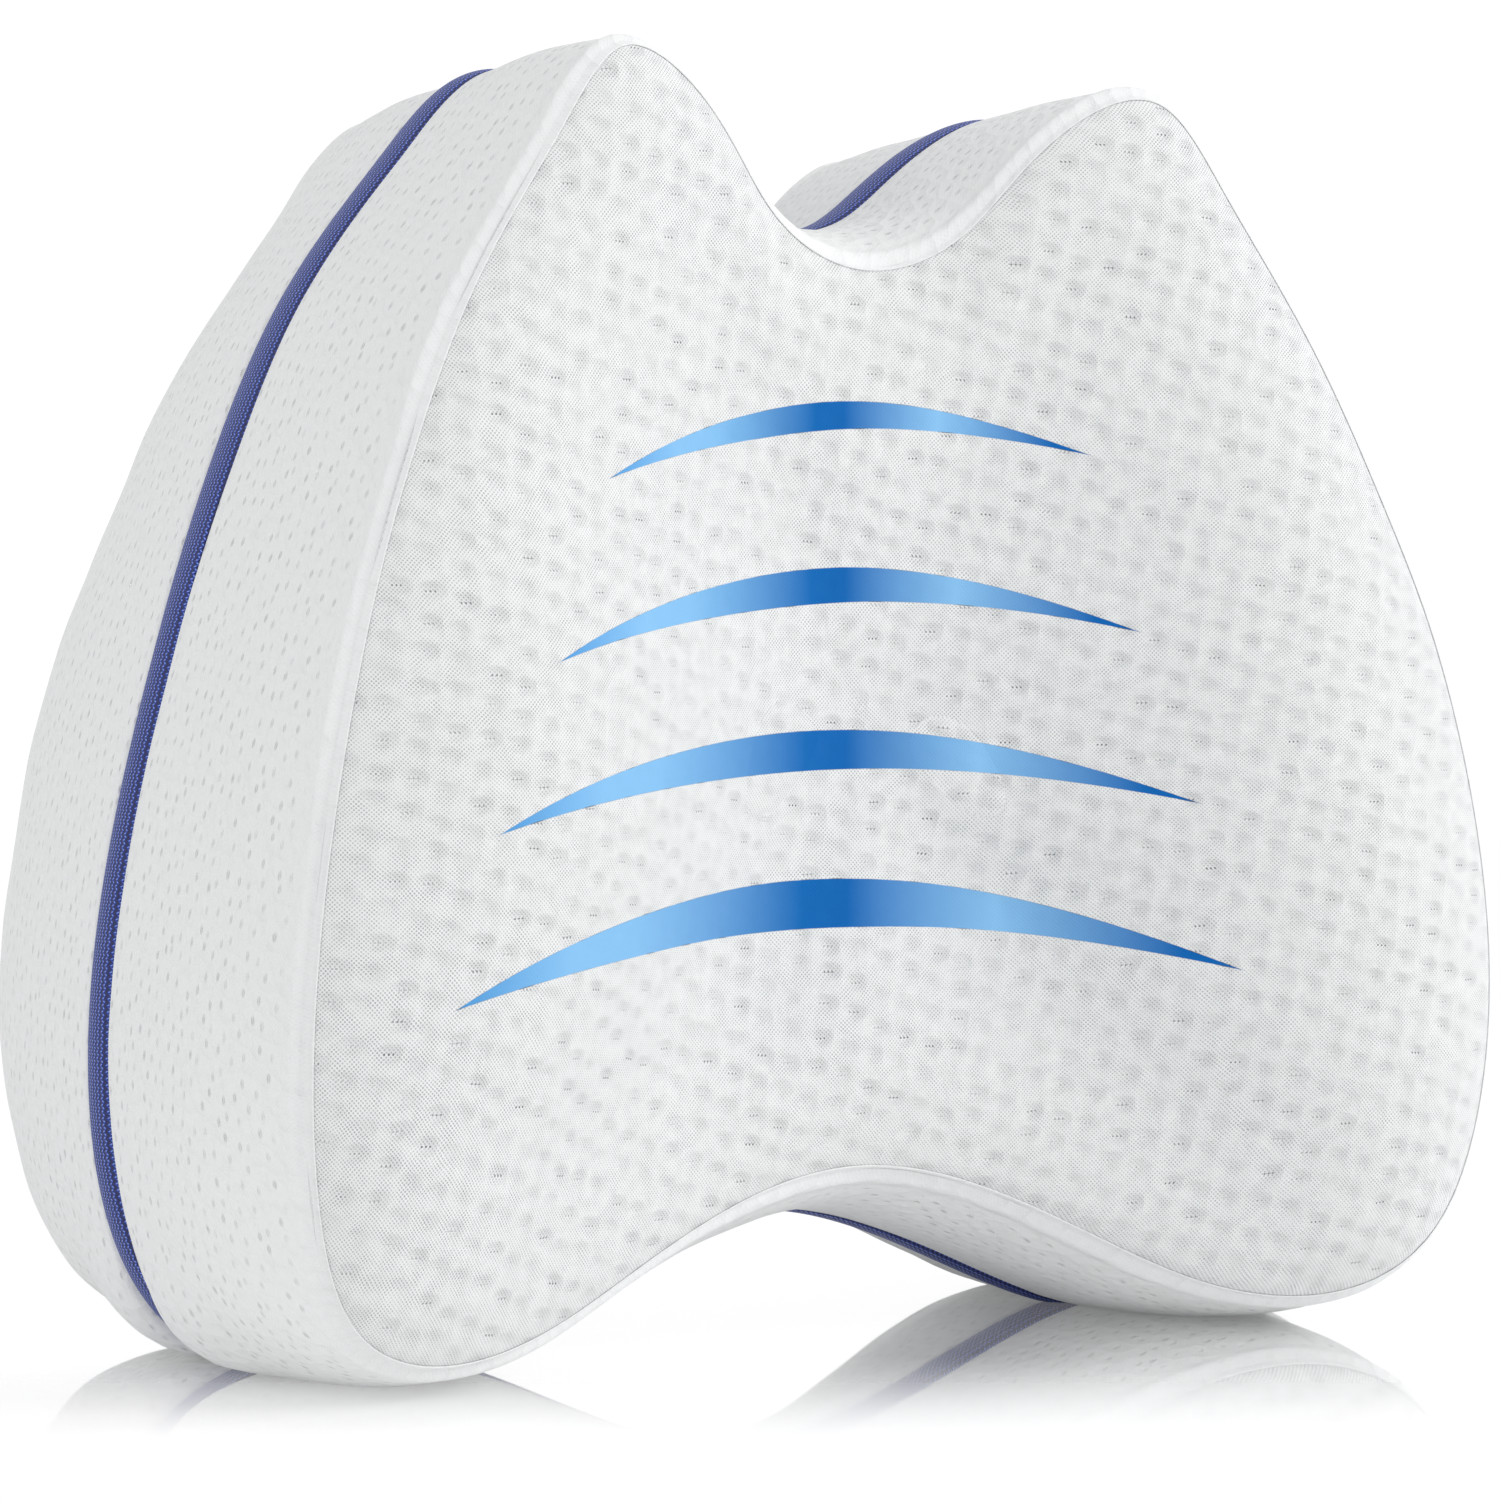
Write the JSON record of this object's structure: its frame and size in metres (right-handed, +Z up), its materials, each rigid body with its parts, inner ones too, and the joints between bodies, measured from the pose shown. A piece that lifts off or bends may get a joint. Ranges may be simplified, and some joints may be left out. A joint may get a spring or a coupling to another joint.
{
  "type": "contoured knee pillow",
  "caption": "Butterfly-shaped foam knee pillow with dished faces, a saddle top, two feet and a mesh tape round its middle.",
  "frame": {"origin": "on the floor, under the middle of the pillow as it stands on its two feet", "axes": "+X across the pillow's width, +Y from the front face to the back face, +Z up towards the humps"},
  "size_m": [0.2626, 0.1574, 0.2343],
  "materials": {
    "white_knit": "matte quilted knit",
    "blue_mesh": "zigzag woven tape with a slight sheen"
  },
  "bodies": {
    "root": {"cushion": "white_knit", "front_panel": "white_knit", "back_panel": "white_knit", "middle_tape": "blue_mesh"}
  },
  "joints": []
}
